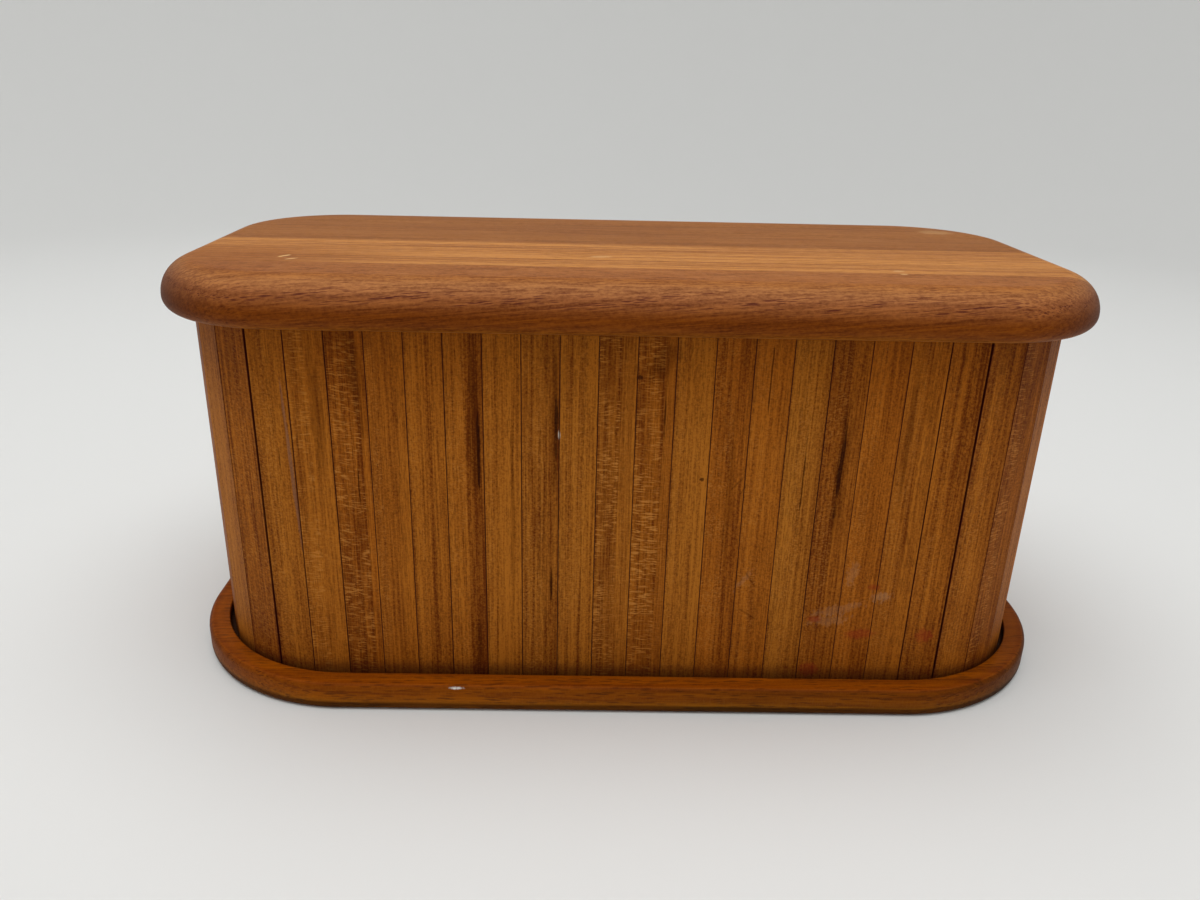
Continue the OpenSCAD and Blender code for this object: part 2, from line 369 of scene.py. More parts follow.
def teak_group():
    """Solid teak. Place runs across the face, into it and along the grain.
    Sawn is 0 where the growth rings stand on the face, pi/2 where they lie."""
    takes = {
        "Place": ("Vector", (0, 0, 0)),
        "Seed": ("Float", 0.0),
        "Sawn": ("Float", 0.0),
        "Ring Width": ("Float", 0.004),
        "Waver": ("Float", 0.004),
        "Depth": ("Float", 0.3),
        "Lines": ("Float", 0.5),
        "Flecks": ("Float", 0.5),
        "Fleck Tilt": ("Float", 0.0),
        "Streaks": ("Float", 0.8),
        "Shimmer": ("Float", 0.6),
        "Pores": ("Float", 0.6),
        "Pore Size": ("Float", 0.0007),
        "Pale": ("Color", (0.4, 0.15, 0.03, 1)),
        "Deep": ("Color", (0.2, 0.06, 0.01, 1)),
        "Pore Colour": ("Color", (0.06, 0.018, 0.006, 1)),
        "Fleck Colour": ("Color", (0.5, 0.22, 0.06, 1)),
    }
    gives = {"Color": "Color", "Roughness": "Float", "Height": "Float"}
    tree, given, out = new_group("teak", takes, gives)

    board_apart = moves(tree, "MULTIPLY", (0.047, 0.031, 0.173), given["Seed"])
    place = moves(tree, "ADD", given["Place"], board_apart)

    # The rings wander slowly, so the board's lines bend and close up.
    slow = grain_noise(tree, place, (1, 1, 0.13), 16.0, gives="Color")
    swing = moves(tree, "SUBTRACT", slow, (0.5, 0.5, 0.5))
    swing = moves(tree, "MULTIPLY", swing, given["Waver"])
    swing = moves(tree, "MULTIPLY", swing, (2.0, 2.0, 0))
    wavy = moves(tree, "ADD", place, swing)
    turned = turned_about(tree, wavy, given["Sawn"], "Z_AXIS")
    radial, tangent, along = split(tree, turned)

    # Growth rings: each year's wood deepens to a dark line, then starts pale.
    ripple = grain_swing(tree, place, (1, 1, 0.05), 240.0, 3.0)
    years = sums(tree, "DIVIDE", radial, given["Ring Width"])
    years = sums(tree, "MULTIPLY_ADD", ripple, 0.55, years)
    year = sums(tree, "FLOOR", years)
    part = sums(tree, "SUBTRACT", years, year)
    luck = sums(tree, "MULTIPLY_ADD", given["Seed"], 7.31, year)
    luck = wire(tree, "ShaderNodeTexWhiteNoise", {"W": luck}, noise_dimensions="1D").outputs[0]
    one_year = ((0, 0.7), (0.05, 0.1), (0.3, 0.22), (0.78, 0.6), (0.94, 1.0), (1, 0.7))
    line = ramped(tree, part, [(at, (dark, dark, dark)) for at, dark in one_year], "EASE")
    growth = sums(tree, "MULTIPLY", line, fades(tree, luck, 0, 1, 0.35, 1.0))

    # Long pores: short dark lines along the grain, dots on an end face.
    vessels = moves(tree, "MULTIPLY", turned, (1, 1, 0.11))
    count = sums(tree, "DIVIDE", 1.0, given["Pore Size"])
    vessel = wire(tree, "ShaderNodeTexVoronoi", {"Vector": vessels, "Scale": count}).outputs[0]
    bore = fades(tree, part, 0.0, 0.6, 0.42, 0.24)
    inside = sums(tree, "SUBTRACT", bore, vessel)
    pores = fades(tree, inside, -0.1, 0.12)
    pores = sums(tree, "MULTIPLY", pores, given["Pores"])

    # Fibres: faint streaks as fine as the plane left them.
    fibre = grain_swing(tree, turned, (1, 1, 0.022), 1150.0, 3.0, 0.7)
    band = grain_swing(tree, turned, (1, 1, 0.014), 380.0, 3.0, 0.65)

    # Rays: pale plates that show as level flecks where the rings stand up.
    curl = grain_noise(tree, place, (1, 1, 0.5), 110.0)
    lean = sums(tree, "MULTIPLY_ADD", radial, given["Fleck Tilt"], along)
    lean = sums(tree, "MULTIPLY_ADD", curl, 0.0016, lean)
    plate = joined(tree, radial, tangent, lean)
    rays = grain_noise(tree, plate, (0.13, 0.4, 1.0), 2300.0, 1.0)
    rays = fades(tree, rays, 0.5, 0.66)
    patch = grain_noise(tree, place, (1, 1, 0.6), 150.0)
    flecks = sums(tree, "MULTIPLY", rays, fades(tree, patch, 0.32, 0.56, 0.2))
    flecks = sums(tree, "MULTIPLY", flecks, given["Flecks"])
    shimmer = grain_swing(tree, plate, (0.75, 0.75, 0.8), 1600.0, 2.0, 0.65)

    # The tone: pale to deep, by the board, the years, the streaks and fibres.
    cloud = grain_swing(tree, place, (1, 1, 0.16), 42.0)
    depth = sums(tree, "MULTIPLY_ADD", cloud, 0.7, given["Depth"])
    depth = sums(tree, "MULTIPLY_ADD", growth, given["Lines"], depth)
    depth = sums(tree, "MULTIPLY_ADD", band, given["Streaks"], depth)
    depth = sums(tree, "MULTIPLY_ADD", fibre, 2.1, depth)
    depth = sums(tree, "MULTIPLY_ADD", shimmer, given["Shimmer"], depth, use_clamp=True)
    colour = blends(tree, depth, given["Pale"], given["Deep"])
    colour = blends(tree, flecks, colour, given["Fleck Colour"])
    colour = blends(tree, pores, colour, given["Pore Colour"])

    # Gloss and relief: pores are dull and sunk, and flecks take the polish.
    rough = sums(tree, "MULTIPLY_ADD", pores, 0.15, 0.5)
    rough = sums(tree, "MULTIPLY_ADD", fibre, 0.18, rough)
    rough = sums(tree, "MULTIPLY_ADD", flecks, -0.08, rough)
    height = sums(tree, "MULTIPLY_ADD", fibre, 0.6, sums(tree, "MULTIPLY", pores, -1.0))
    height = sums(tree, "MULTIPLY_ADD", growth, -0.25, height)
    for name, value in zip(gives, (colour, rough, height)):
        tree.links.new(value, out.inputs[name])
    return tree


def mark_group():
    """A soft-edged mark round a point: 1 in its middle and 0 outside it."""
    takes = {
        "Place": ("Vector", (0, 0, 0)),
        "Middle": ("Vector", (0, 0, 0)),
        "Reach": ("Vector", (0.01, 0.01, 0.01)),
        "Tilt": ("Vector", (0, 0, 0)),
        "Ragged": ("Float", 0.5),
        "Grain": ("Vector", (1, 1, 1)),
    }
    tree, given, out = new_group("soft mark", takes, {"Mask": "Float"})
    away = moves(tree, "SUBTRACT", given["Place"], given["Middle"])
    away = wire(
        tree, "ShaderNodeVectorRotate", {"Vector": away, "Rotation": given["Tilt"]},
        rotation_type="EULER_XYZ", invert=True,
    ).outputs[0]
    far = moves(tree, "LENGTH", moves(tree, "DIVIDE", away, given["Reach"]))
    torn = grain_swing(tree, given["Place"], given["Grain"], 700.0, 2.0, 0.6)
    far = sums(tree, "MULTIPLY_ADD", torn, given["Ragged"], far)
    tree.links.new(fades(tree, far, 0.45, 1.0, 1.0, 0.0), out.inputs["Mask"])
    return tree


teak, soft_mark = teak_group(), mark_group()


def new_finish(name, specular=0.5):
    """A material with its tree and its one surface shader."""
    material = bpy.data.materials.new(name)
    material.use_nodes = True
    shader = material.node_tree.nodes["Principled BSDF"]
    shader.inputs["Specular IOR Level"].default_value = specular
    return material, material.node_tree, shader


def uses(tree, group, **inputs):
    """Places a shader node group; its inputs are named with underscores."""
    named = {name.replace("_", " "): value for name, value in inputs.items()}
    return wire(tree, "ShaderNodeGroup", named, node_tree=group)


def object_place(tree):
    """Where the surface is on the finished piece, in metres."""
    return tree.nodes.new("ShaderNodeTexCoord").outputs["Object"]


def lengthwise(tree, lean=0.0, rise=0.0, drawn=1.0):
    """Place for a board whose grain runs along the box, from left to right,
    but for a slight lean towards the back and rise to the right; it may be
    drawn out to longer fibres."""
    place = turned_about(tree, object_place(tree), -lean, "Z_AXIS")
    along, across, up = split(tree, turned_about(tree, place, rise, "Y_AXIS"))
    return joined(tree, across, up, sums(tree, "DIVIDE", along, drawn))


def looks_along(tree, axis):
    """How squarely the surface looks along one axis of the box, either way."""
    outward = tree.nodes.new("ShaderNodeTexCoord").outputs["Normal"]
    return sums(tree, "ABSOLUTE", split(tree, outward)[axis])


def end_grain(tree):
    """How far cut fibre ends show: full where the surface looks endways."""
    return fades(tree, looks_along(tree, 0), 0.12, 0.85)


def surfaced(tree, shader, colour, rough, height, depth=0.12 * MM, strength=0.55):
    """Joins a finish's colour, gloss and relief to its surface."""
    tree.links.new(colour, shader.inputs["Base Color"])
    tree.links.new(rough, shader.inputs["Roughness"])
    given = {"Height": height, "Distance": depth, "Strength": strength}
    relief = wire(tree, "ShaderNodeBump", given).outputs[0]
    tree.links.new(relief, shader.inputs["Normal"])


def base_teak():
    """Redder teak, a little darker on its end grain, browned by handling
    along the rim's edge, darkened with painted shade in the recess and where its
    sides turn under, and dented white in one place."""
    material, tree, shader = new_finish("base teak", 0.04)
    figure = uses(
        tree, teak, Place=lengthwise(tree, 0.02), Seed=3.0, Sawn=1.2, Ring_Width=0.0035,
        Depth=0.35, Lines=0.45, Flecks=0.12, Pores=0.55, Pore_Size=0.0008,
        Pale=(0.34, 0.08, 0.001, 1), Deep=(0.18, 0.036, 0.001, 1),
        Pore_Colour=(0.06, 0.014, 0.002, 1), Fleck_Colour=(0.36, 0.11, 0.01, 1),
    )
    ends = sums(tree, "MULTIPLY", end_grain(tree), 0.3)
    colour = blends(tree, ends, figure.outputs["Color"], (0.1, 0.027, 0.007, 1))
    place = object_place(tree)
    across, _, height = split(tree, place)

    # How far in from the outer edge: past the rounded outline's straight core.
    length, width, corner = BASE_SIZE
    core = (*millimetres(length / 2 - corner, width / 2 - corner), 1)
    past_core = moves(tree, "SUBTRACT", moves(tree, "ABSOLUTE", place), core)
    past_core = moves(tree, "LENGTH", moves(tree, "MAXIMUM", past_core, (0, 0, 0)))
    inset = sums(tree, "SUBTRACT", corner * MM, past_core)

    # The sides are toned from foot to top, with painted shade where they turn under, and deeper
    # towards the right.
    patchy = grain_noise(tree, place, (0.3, 1, 1), 90.0)
    patchy = fades(tree, patchy, 0.3, 0.7, 0.85, 1.0)
    sides = fades(tree, looks_along(tree, 2), 0.75, 0.99, 1.0, 0.0)
    sides = sums(tree, "MULTIPLY", sides, patchy)
    up = sums(tree, "DIVIDE", height, BASE_THICK * MM)
    colour = blends(tree, sides, colour, ramped(tree, up, SIDE_TONES), "MULTIPLY")
    sides = sums(tree, "MULTIPLY", sides, fades_over(tree, across, DEEPER_FRONT))
    colour = blends(tree, sides, colour, (0.74, 0.78, 0.85, 1), "MULTIPLY")
    right_end = fades_over(tree, across, DEEPER_END)
    colour = blends(tree, right_end, colour, (0.78, 0.8, 0.8, 1), "MULTIPLY")

    near_edge = fades_over(tree, inset, HANDLED, 0.6, 0.0)
    at_top = fades_over(tree, height, (BASE_THICK - 0.2, BASE_THICK - 0.05))
    handled = sums(tree, "MULTIPLY", near_edge, at_top)
    colour = blends(tree, handled, colour, (0.72, 0.6, 0.4, 1), "MULTIPLY")
    # Painted shade: the recess wall and the floor beside it are darkened almost to black.
    sunk = fades_over(tree, height, (RECESS_FLOOR + 0.5, BASE_THICK - 0.5), 0.94, 0.0)
    inside_rim = fades_over(tree, inset, (RIM_WIDE - 0.6, RIM_WIDE - 0.4))
    darkening = sums(tree, "MULTIPLY", sunk, inside_rim)
    colour = blends(tree, darkening, colour, (0.02, 0.006, 0.002, 1))
    nick = uses(tree, soft_mark, Place=place, Middle=millimetres(*NICK_MIDDLE),
                Reach=millimetres(*NICK_REACH), Ragged=1.0).outputs[0]
    colour = blends(tree, nick, colour, (0.7, 0.66, 0.6, 1))
    relief = sums(tree, "MULTIPLY_ADD", nick, -3.0, figure.outputs["Height"])
    surfaced(tree, shader, colour, figure.outputs["Roughness"], relief)
    return material


base.data.materials.append(base_teak())
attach(base, "box")
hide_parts("base_board")


# ============================================================= wall slats
# Sixty-three square-edged teak slats glued side by side on canvas, wrapped
# round the box and stood in the base's recess. They were ripped from many
# offcuts, so each has its own tone and figure; a few joints have opened.

SLATS, SLAT_WIDE, SLAT_THICK, SLAT_ARRIS = 63, 12.52, 4.0, 0.12
SLAT_FOOT, SLAT_TOP = 6.5, 137.5
LINE_HALF_LONG, LINE_HALF_DEEP, LINE_RADIUS = 108.5, 23.0, 43.0
JOINT_SHIFT = 1.0
OPEN_JOINTS = {-11: 0.1, -10: 0.7, -9: 0.16, -8: 0.1, 5: 0.08, 8: 0.16, 9: 0.6, 11: 0.3}
FRONT_FACE = -(LINE_HALF_DEEP + LINE_RADIUS + SLAT_THICK)
# The grime along a joint reaches this far in from the slat's edge, and fades
# over this much; the painted shade at the foot, and the bands of painted shade
# under the lid and above the rim, lie between these heights.
GRIME_WIDE, GRIME_FADE, FOOT_SHADE = 0.18, 0.16, (10.0, 15.0)
PAINTED_SHADE_TOP, PAINTED_SHADE_FOOT = (92.0, 134.0), (14.0, 50.0)
MARK_DEEP = 3.0

QUARTERED = dict(sawn=0.12, flecks=0.64, lines=0.2)
RIFT = dict(sawn=0.6, flecks=0.24, lines=0.45)
FLAT = dict(sawn=1.4, flecks=0.3, lines=0.35)
# Slats of the front, by joint from its middle: the cut, how deep the tone
# is, and where the tone steps across the slat's width, and by how much.
FRONT = {
    -13: (FLAT, 0.25, 0.0, 0.1),
    -12: (RIFT, 0.04, 3.5, 0.12),
    -11: (RIFT, 0.38, 9.0, 0.0),
    -10: (FLAT, 0.22, 1.0, 0.08),
    -9: (QUARTERED, 0.3, 0.5, -0.12),
    -8: (QUARTERED, 0.6, 4.2, -0.2),
    -7: (FLAT, 0.28, -2.2, -0.1),
    -6: (RIFT, 0.18, -1.5, 0.1),
    -5: (FLAT, 0.3, 1.0, 0.25),
    -4: (RIFT, 0.14, -2.4, -0.12),
    -3: (FLAT, 0.31, 1.6, 0.16),
    -2: (RIFT, 0.18, 3.2, -0.1),
    -1: (QUARTERED, 0.6, 1.6, -0.22),
    0: (QUARTERED, 0.52, 3.4, -0.2),
    1: (RIFT, 0.18, -2.4, -0.1),
    2: (FLAT, 0.24, 1.8, 0.14),
    3: (RIFT, 0.21, 1.2, 0.06),
    4: (FLAT, 0.24, 1.9, 0.12),
    5: (FLAT, 0.66, 0.8, -0.3),
    6: (FLAT, 0.28, -0.4, 0.05),
    7: (FLAT, 0.14, 0.6, 0.04),
    8: (RIFT, 0.3, 0.9, 0.1),
    9: (FLAT, 0.2, 1.5, 0.14),
    10: (QUARTERED, 0.62, 0.8, -0.16),
    11: (RIFT, 0.22, 9.0, 0.0),
}


def along_canvas(run):
    """Walks the canvas line anticlockwise from the middle of the front."""
    corner = LINE_RADIUS * pi / 2
    x, y, heading = 0.0, -(LINE_HALF_DEEP + LINE_RADIUS), 0.0
    half_long, deep = LINE_HALF_LONG, 2 * LINE_HALF_DEEP
    for length, turning in (
        (half_long, False), (corner, True), (deep, False), (corner, True),
        (2 * half_long, False), (corner, True), (deep, False), (corner, True),
        (half_long, False),
    ):
        step = min(run, length)
        if turning:
            left_x, left_y = x - LINE_RADIUS * sin(heading), y + LINE_RADIUS * cos(heading)
            heading += step / LINE_RADIUS
            x, y = left_x + LINE_RADIUS * sin(heading), left_y - LINE_RADIUS * cos(heading)
        else:
            x, y = x + step * cos(heading), y + step * sin(heading)
        run -= step
        if run <= 0:
            break
    return Vector((x, y)), heading


LINE_ROUND = 4 * (LINE_HALF_LONG + LINE_HALF_DEEP) + 2 * pi * LINE_RADIUS
SLAT_PITCH = LINE_ROUND / SLATS


def joint_ring(depth=0.0):
    """Where the joints are, from the front's middle one round to the right,
    on the canvas or moved in from it."""
    ring = []
    for joint in range(SLATS):
        place, heading = along_canvas((JOINT_SHIFT + joint * SLAT_PITCH) % LINE_ROUND)
        ring.append(place + depth * Vector((-sin(heading), cos(heading))))
    return ring


def joints_round():
    """The joints between slats, on the canvas, as a ring of edges. Each
    edge carries what its slat is like."""
    chance = random.Random(11)
    order = list(range(SLATS))
    ring = joint_ring()
    mesh = bpy.data.meshes.new("joints")
    points = [millimetres(x, y, 0.0) for x, y in ring]
    mesh.from_pydata(points, [(i, (i + 1) % SLATS) for i in order], [])
    backs = [ring[(i + 1) % SLATS] - ring[i] for i in order]
    # At the corners a slat's edges are planed off square, half the turn each.
    slopes = [tan(backs[i].angle_signed(backs[i - 1]) / 2) for i in order]
    kinds = {"seed": "FLOAT", "trim": "FLOAT", "shift": "FLOAT", "proud": "FLOAT",
             "slopes": "FLOAT_VECTOR", "figure": "FLOAT_VECTOR", "tone": "FLOAT_VECTOR"}
    rows = {name: [] for name in kinds}
    for i in order:
        slat = i if i <= SLATS // 2 else i - SLATS
        cut = chance.choice((QUARTERED, RIFT, RIFT, FLAT, FLAT, FLAT))
        made = (cut, chance.uniform(0.05, 0.5), chance.uniform(-5, 5), chance.uniform(-0.2, 0.2))
        cut, depth, where, step = FRONT.get(slat, made)
        left, right = OPEN_JOINTS.get(slat, 0.0) / 2, OPEN_JOINTS.get(slat + 1, 0.0) / 2
        rows["seed"].append(float(slat))
        rows["trim"].append((left + right + chance.uniform(0, 0.05)) * MM)
        rows["shift"].append((left - right) / 2 * MM)
        rows["proud"].append(chance.uniform(-0.09, 0.06) * MM)
        sawn = cut["sawn"] + chance.uniform(-0.1, 0.1)
        rows["figure"].append((sawn, cut["flecks"] * chance.uniform(0.8, 1.1), cut["lines"]))
        rows["tone"].append((depth, where * MM, step))
        rows["slopes"].append((slopes[i], slopes[(i + 1) % SLATS], 0.0))
    for name, kind in kinds.items():
        made = mesh.attributes.new(name, kind, "EDGE")
        if kind == "FLOAT":
            made.data.foreach_set("value", rows[name])
        else:
            made.data.foreach_set("vector", [part for row in rows[name] for part in row])
    return placed("joints", mesh)


def slat_tree():
    """Stands one slat on each edge of a ring of joints, outside the line."""
    takes = {
        "Geometry": ("Geometry", None),
        "Slat Width": ("Float", SLAT_WIDE * MM),
        "Slat Thickness": ("Float", SLAT_THICK * MM),
        "Slat Arris": ("Float", SLAT_ARRIS * MM),
        "Foot": ("Float", SLAT_FOOT * MM),
        "Top": ("Float", SLAT_TOP * MM),
        "Wood": ("Material", None),
    }
    gives = {"Geometry": "Geometry"}
    tree, given, out = new_group("slats on canvas", takes, gives, "GeometryNodeTree")

    # One slat, which keeps each point's place on itself for its figure.
    section = wire(tree, "GeometryNodeCurvePrimitiveQuadrilateral",
                   {"Width": given["Slat Width"], "Height": given["Slat Thickness"]})
    section = wire(tree, "GeometryNodeFilletCurve",
                   {"Curve": section.outputs[0], "Count": 3, "Radius": given["Slat Arris"]},
                   mode="POLY")
    middle = sums(tree, "MULTIPLY", given["Slat Thickness"], -0.5)
    spine = wire(tree, "GeometryNodeCurvePrimitiveLine",
                 {"Start": joined(tree, 0.0, middle, given["Foot"]),
                  "End": joined(tree, 0.0, middle, given["Top"])})
    slat = wire(tree, "GeometryNodeCurveToMesh",
                {"Curve": spine.outputs[0], "Profile Curve": section.outputs[0],
                 "Fill Caps": True})
    here = tree.nodes.new("GeometryNodeInputPosition").outputs[0]
    slat = wire(tree, "GeometryNodeStoreNamedAttribute",
                {"Geometry": slat.outputs[0], "Name": "slat_place", "Value": here},
                data_type="FLOAT_VECTOR", domain="POINT")

    # One point for each pair of joints, moved by what its slat is like.
    ends = tree.nodes.new("GeometryNodeInputMeshEdgeVertices").outputs
    chord = moves(tree, "SUBTRACT", ends["Position 2"], ends["Position 1"])
    chord = moves(tree, "NORMALIZE", chord)
    kept = tree.nodes.new("GeometryNodeCaptureAttribute")
    kept.capture_items.new("VECTOR", "chord")
    kept.domain = "EDGE"
    tree.links.new(given["Geometry"], kept.inputs[0])
    tree.links.new(chord, kept.inputs[1])
    chord = kept.outputs[1]
    spots = wire(tree, "GeometryNodeMeshToPoints", {"Mesh": kept.outputs[0]}, mode="EDGES")

    def carried(name, kind="FLOAT"):
        node = wire(tree, "GeometryNodeInputNamedAttribute", {"Name": name}, data_type=kind)
        return node.outputs["Attribute"]

    outward = moves(tree, "CROSS_PRODUCT", chord, (0, 0, 1))
    push = moves(tree, "ADD", moves(tree, "SCALE", chord, by=carried("shift")),
                 moves(tree, "SCALE", outward, by=carried("proud")))
    spots = wire(tree, "GeometryNodeSetPosition", {"Geometry": spots.outputs[0], "Offset": push})
    turned = wire(tree, "FunctionNodeAlignRotationToVector", {"Vector": chord},
                  axis="X", pivot_axis="Z")
    narrow = sums(tree, "DIVIDE", carried("trim"), given["Slat Width"])
    narrow = joined(tree, sums(tree, "SUBTRACT", 1.0, narrow), 1.0, 1.0)
    stood = wire(tree, "GeometryNodeInstanceOnPoints",
                 {"Points": spots.outputs[0], "Instance": slat.outputs[0],
                  "Rotation": turned.outputs[0], "Scale": narrow})
    real = wire(tree, "GeometryNodeRealizeInstances", {0: stood.outputs[0]})

    # The edges are planed to their slopes, wider the further from the canvas.
    slope = split(tree, carried("slopes", "FLOAT_VECTOR"))
    local = split(tree, carried("slat_place", "FLOAT_VECTOR"))
    right = sums(tree, "GREATER_THAN", local[0], 0.0)
    widen = sums(tree, "MULTIPLY_ADD", right, sums(tree, "ADD", slope[0], slope[1]),
                 sums(tree, "MULTIPLY", slope[0], -1.0))
    widen = sums(tree, "MULTIPLY", widen, sums(tree, "MULTIPLY", local[1], -1.0))
    planed = wire(tree, "GeometryNodeSetPosition",
                  {"Geometry": real.outputs[0], "Offset": moves(tree, "SCALE", chord, by=widen)})
    done = wire(tree, "GeometryNodeSetMaterial",
                {"Geometry": planed.outputs[0], "Material": given["Wood"]})
    tree.links.new(done.outputs[0], out.inputs[0])
    return tree


def slat_teak():
    """Golden to red-brown teak, figured slat by slat, with grimed joints and
    the scuffs and stains of use on the front, and painted shade under the lid
    and towards the foot."""
    material, tree, shader = new_finish("slat teak", 0.03)

    def carried(name):
        return wire(tree, "ShaderNodeAttribute", attribute_name=name).outputs

    place = carried("slat_place")["Vector"]
    figure = split(tree, carried("figure")["Vector"])
    tone = split(tree, carried("tone")["Vector"])
    parts = split(tree, place)
    wander = grain_noise(tree, place, (0, 0, 1), 26.0)
    across = sums(tree, "MULTIPLY_ADD", wander, 1.2 * MM, parts[0])
    past = sums(tree, "SUBTRACT", across, tone[1])
    stepped = sums(tree, "MULTIPLY", fades_over(tree, past, (-0.1, 0.5)), tone[2])
    depth = sums(tree, "ADD", sums(tree, "ADD", tone[0], 0.04), stepped)
    seed = carried("seed")["Fac"]
    luck = wire(tree, "ShaderNodeTexWhiteNoise", {"W": seed}, noise_dimensions="1D").outputs
    pale = blends(tree, luck[0], (0.425, 0.146, 0.015, 1), (0.415, 0.12, 0.009, 1))
    tilt = sums(tree, "MULTIPLY_ADD", luck[0], 0.16, -0.04)
    rays = sums(tree, "MULTIPLY", figure[1], fades_over(tree, past, (-0.3, 0.3), 1.0, 0.25))
    wood = uses(
        tree, teak, Place=place, Seed=seed, Sawn=figure[0], Ring_Width=0.0031,
        Waver=0.0022, Depth=depth, Lines=figure[2], Flecks=rays, Fleck_Tilt=tilt, Pores=0.3,
        Streaks=sums(tree, "ADD", figure[2], 0.35),
        Shimmer=sums(tree, "MULTIPLY_ADD", figure[1], -1.6, 2.1),
        Pore_Size=0.0005, Pale=pale, Deep=(0.128, 0.026, 0.002, 1),
        Pore_Colour=(0.06, 0.016, 0.001, 1), Fleck_Colour=(0.58, 0.235, 0.045, 1),
    )
    colour = wood.outputs["Color"]

    # Painted shade: the wood is darkened towards the lid above and towards the rim below.
    seen = object_place(tree)
    high = split(tree, seen)[2]
    painted_shade = sums(tree, "MAXIMUM", fades_over(tree, high, PAINTED_SHADE_TOP, 0.0, 0.9),
                  fades_over(tree, high, PAINTED_SHADE_FOOT, 0.55, 0.0))
    colour = blends(tree, painted_shade, colour, (0.74, 0.66, 0.45, 1), "MULTIPLY")

    def marked(middle, reach, ragged=0.6, tilt=0.0, grain=(1, 1, 0.12)):
        """A mark on the front, from its middle and reach across and up."""
        return uses(
            tree, soft_mark, Place=seen, Middle=millimetres(middle[0], FRONT_FACE, middle[1]),
            Reach=millimetres(reach[0], MARK_DEEP, reach[1]), Ragged=ragged,
            Tilt=(0, radians(tilt), 0), Grain=grain,
        ).outputs[0]

    def lay(marks, over, strength, paint, kind="MIX", **how):
        """Lays marks of one kind, each a middle, a reach and a tilt."""
        for middle, reach, tilt in marks:
            share = sums(tree, "MULTIPLY", marked(middle, reach, tilt=tilt, **how), strength)
            over = blends(tree, share, over, paint, kind)
        return over

    soft_streaks = (
        ((-52.4, 104), (2.6, 34), 0), ((-52.6, 22), (1.3, 14), 0), ((-25.8, 108), (1.8, 30), 0),
        ((-26.8, 46), (1.0, 9), 0), ((71.2, 90), (3.0, 38), 1), ((-90.5, 122), (3.4, 24), -4),
        ((9.4, 129), (4.6, 10), 35), ((128.8, 118), (1.8, 24), 1), ((-104.2, 108), (2.6, 30), -2),
        ((34.0, 84), (1.8, 34), 0), ((92.5, 104), (1.4, 34), 0), ((-40.0, 70), (0.9, 50), 0),
    )
    colour = lay(soft_streaks, colour, 0.6, (0.5, 0.43, 0.3, 1), "MULTIPLY", ragged=1.5)
    hard_streaks = (
        ((-51.4, 96), (0.6, 22), 0), ((-25.4, 106), (0.6, 16), 0), ((71.0, 92), (0.9, 20), 1),
        ((-92.1, 86), (0.4, 8), 0), ((10.6, 112), (0.4, 8), 0), ((1.8, 123.3), (1.4, 1.0), -15),
        ((44.6, 122), (0.4, 14), 0), ((58.6, 88), (0.4, 18), 0), ((24.3, 87.6), (0.8, 0.7), 0),
        ((-26.6, 44), (0.45, 6), 0), ((-118.5, 90), (0.3, 14), 0),
    )
    colour = lay(hard_streaks, colour, 0.85, (0.2, 0.15, 0.12, 1), "MULTIPLY", ragged=2.6)
    pale_scuffs = (
        ((76.0, 37.5), (12.0, 2.4), -14), ((91.5, 43), (4.6, 2.8), -8),
        ((80.0, 52), (2.4, 6.0), 14), ((92.0, 43), (4.0, 2.0), -20),
        ((74.0, 33), (9.0, 2.6), -6), ((41.5, 49), (1.2, 6.0), 35),
    )
    colour = lay(pale_scuffs, colour, 0.16, (0.4, 0.24, 0.13, 1), ragged=2.2, grain=(1, 1, 0.7))
    red_stains = (
        ((85.5, 27.5), (6.5, 2.6), -6), ((109.5, 27), (4.4, 3.6), 0), ((88.5, 47), (2.6, 1.6), 0),
        ((68.5, 33.5), (3.4, 1.6), 0), ((68.5, 12), (5.0, 3.8), 0),
    )
    colour = lay(red_stains, colour, 0.5, (0.26, 0.028, 0.007, 1), ragged=1.2, grain=(1, 1, 1))
    rubs = (
        ((36.8, 86.7), (4.2, 0.5), -48), ((38.6, 84.0), (3.4, 0.4), -60),
        ((43.8, 49.5), (4.6, 0.5), 58), ((43.8, 35.3), (5.0, 0.6), 34),
    )
    colour = lay(rubs, colour, 0.6, (0.45, 0.4, 0.34, 1), "MULTIPLY", grain=(1, 1, 1))
    grey = (((-114.6, 92), (0.9, 40), -1.9), ((124.8, 66), (2.8, 8), 0))
    colour = lay(grey, colour, 0.42, (0.13, 0.085, 0.075, 1), ragged=1.0)
    fleck_of_paint = marked((-24.3, 103), (0.5, 2.2), ragged=0.9)
    colour = blends(tree, fleck_of_paint, colour, (0.62, 0.56, 0.46, 1))

    # Dirt and old finish have gathered along the joints; the foot is darkened with painted shade.
    from_middle = sums(tree, "ABSOLUTE", parts[0])
    grime_from = SLAT_WIDE / 2 - GRIME_WIDE
    darkening = fades_over(tree, from_middle, (grime_from, grime_from + GRIME_FADE))
    broken = grain_noise(tree, place, (1, 1, 0.2), 260.0)
    darkening = sums(tree, "MULTIPLY", darkening, fades(tree, broken, 0.3, 0.7, 0.7, 1.0))
    # Painted shade at the foot of the slats, just above the rim.
    foot = fades_over(tree, parts[2], FOOT_SHADE, 0.45, 0.0)
    darkening = sums(tree, "MAXIMUM", darkening, foot)
    colour = blends(tree, darkening, colour, (0.058, 0.006, 0.005, 1))

    surfaced(tree, shader, colour, wood.outputs["Roughness"], wood.outputs["Height"])
    return material


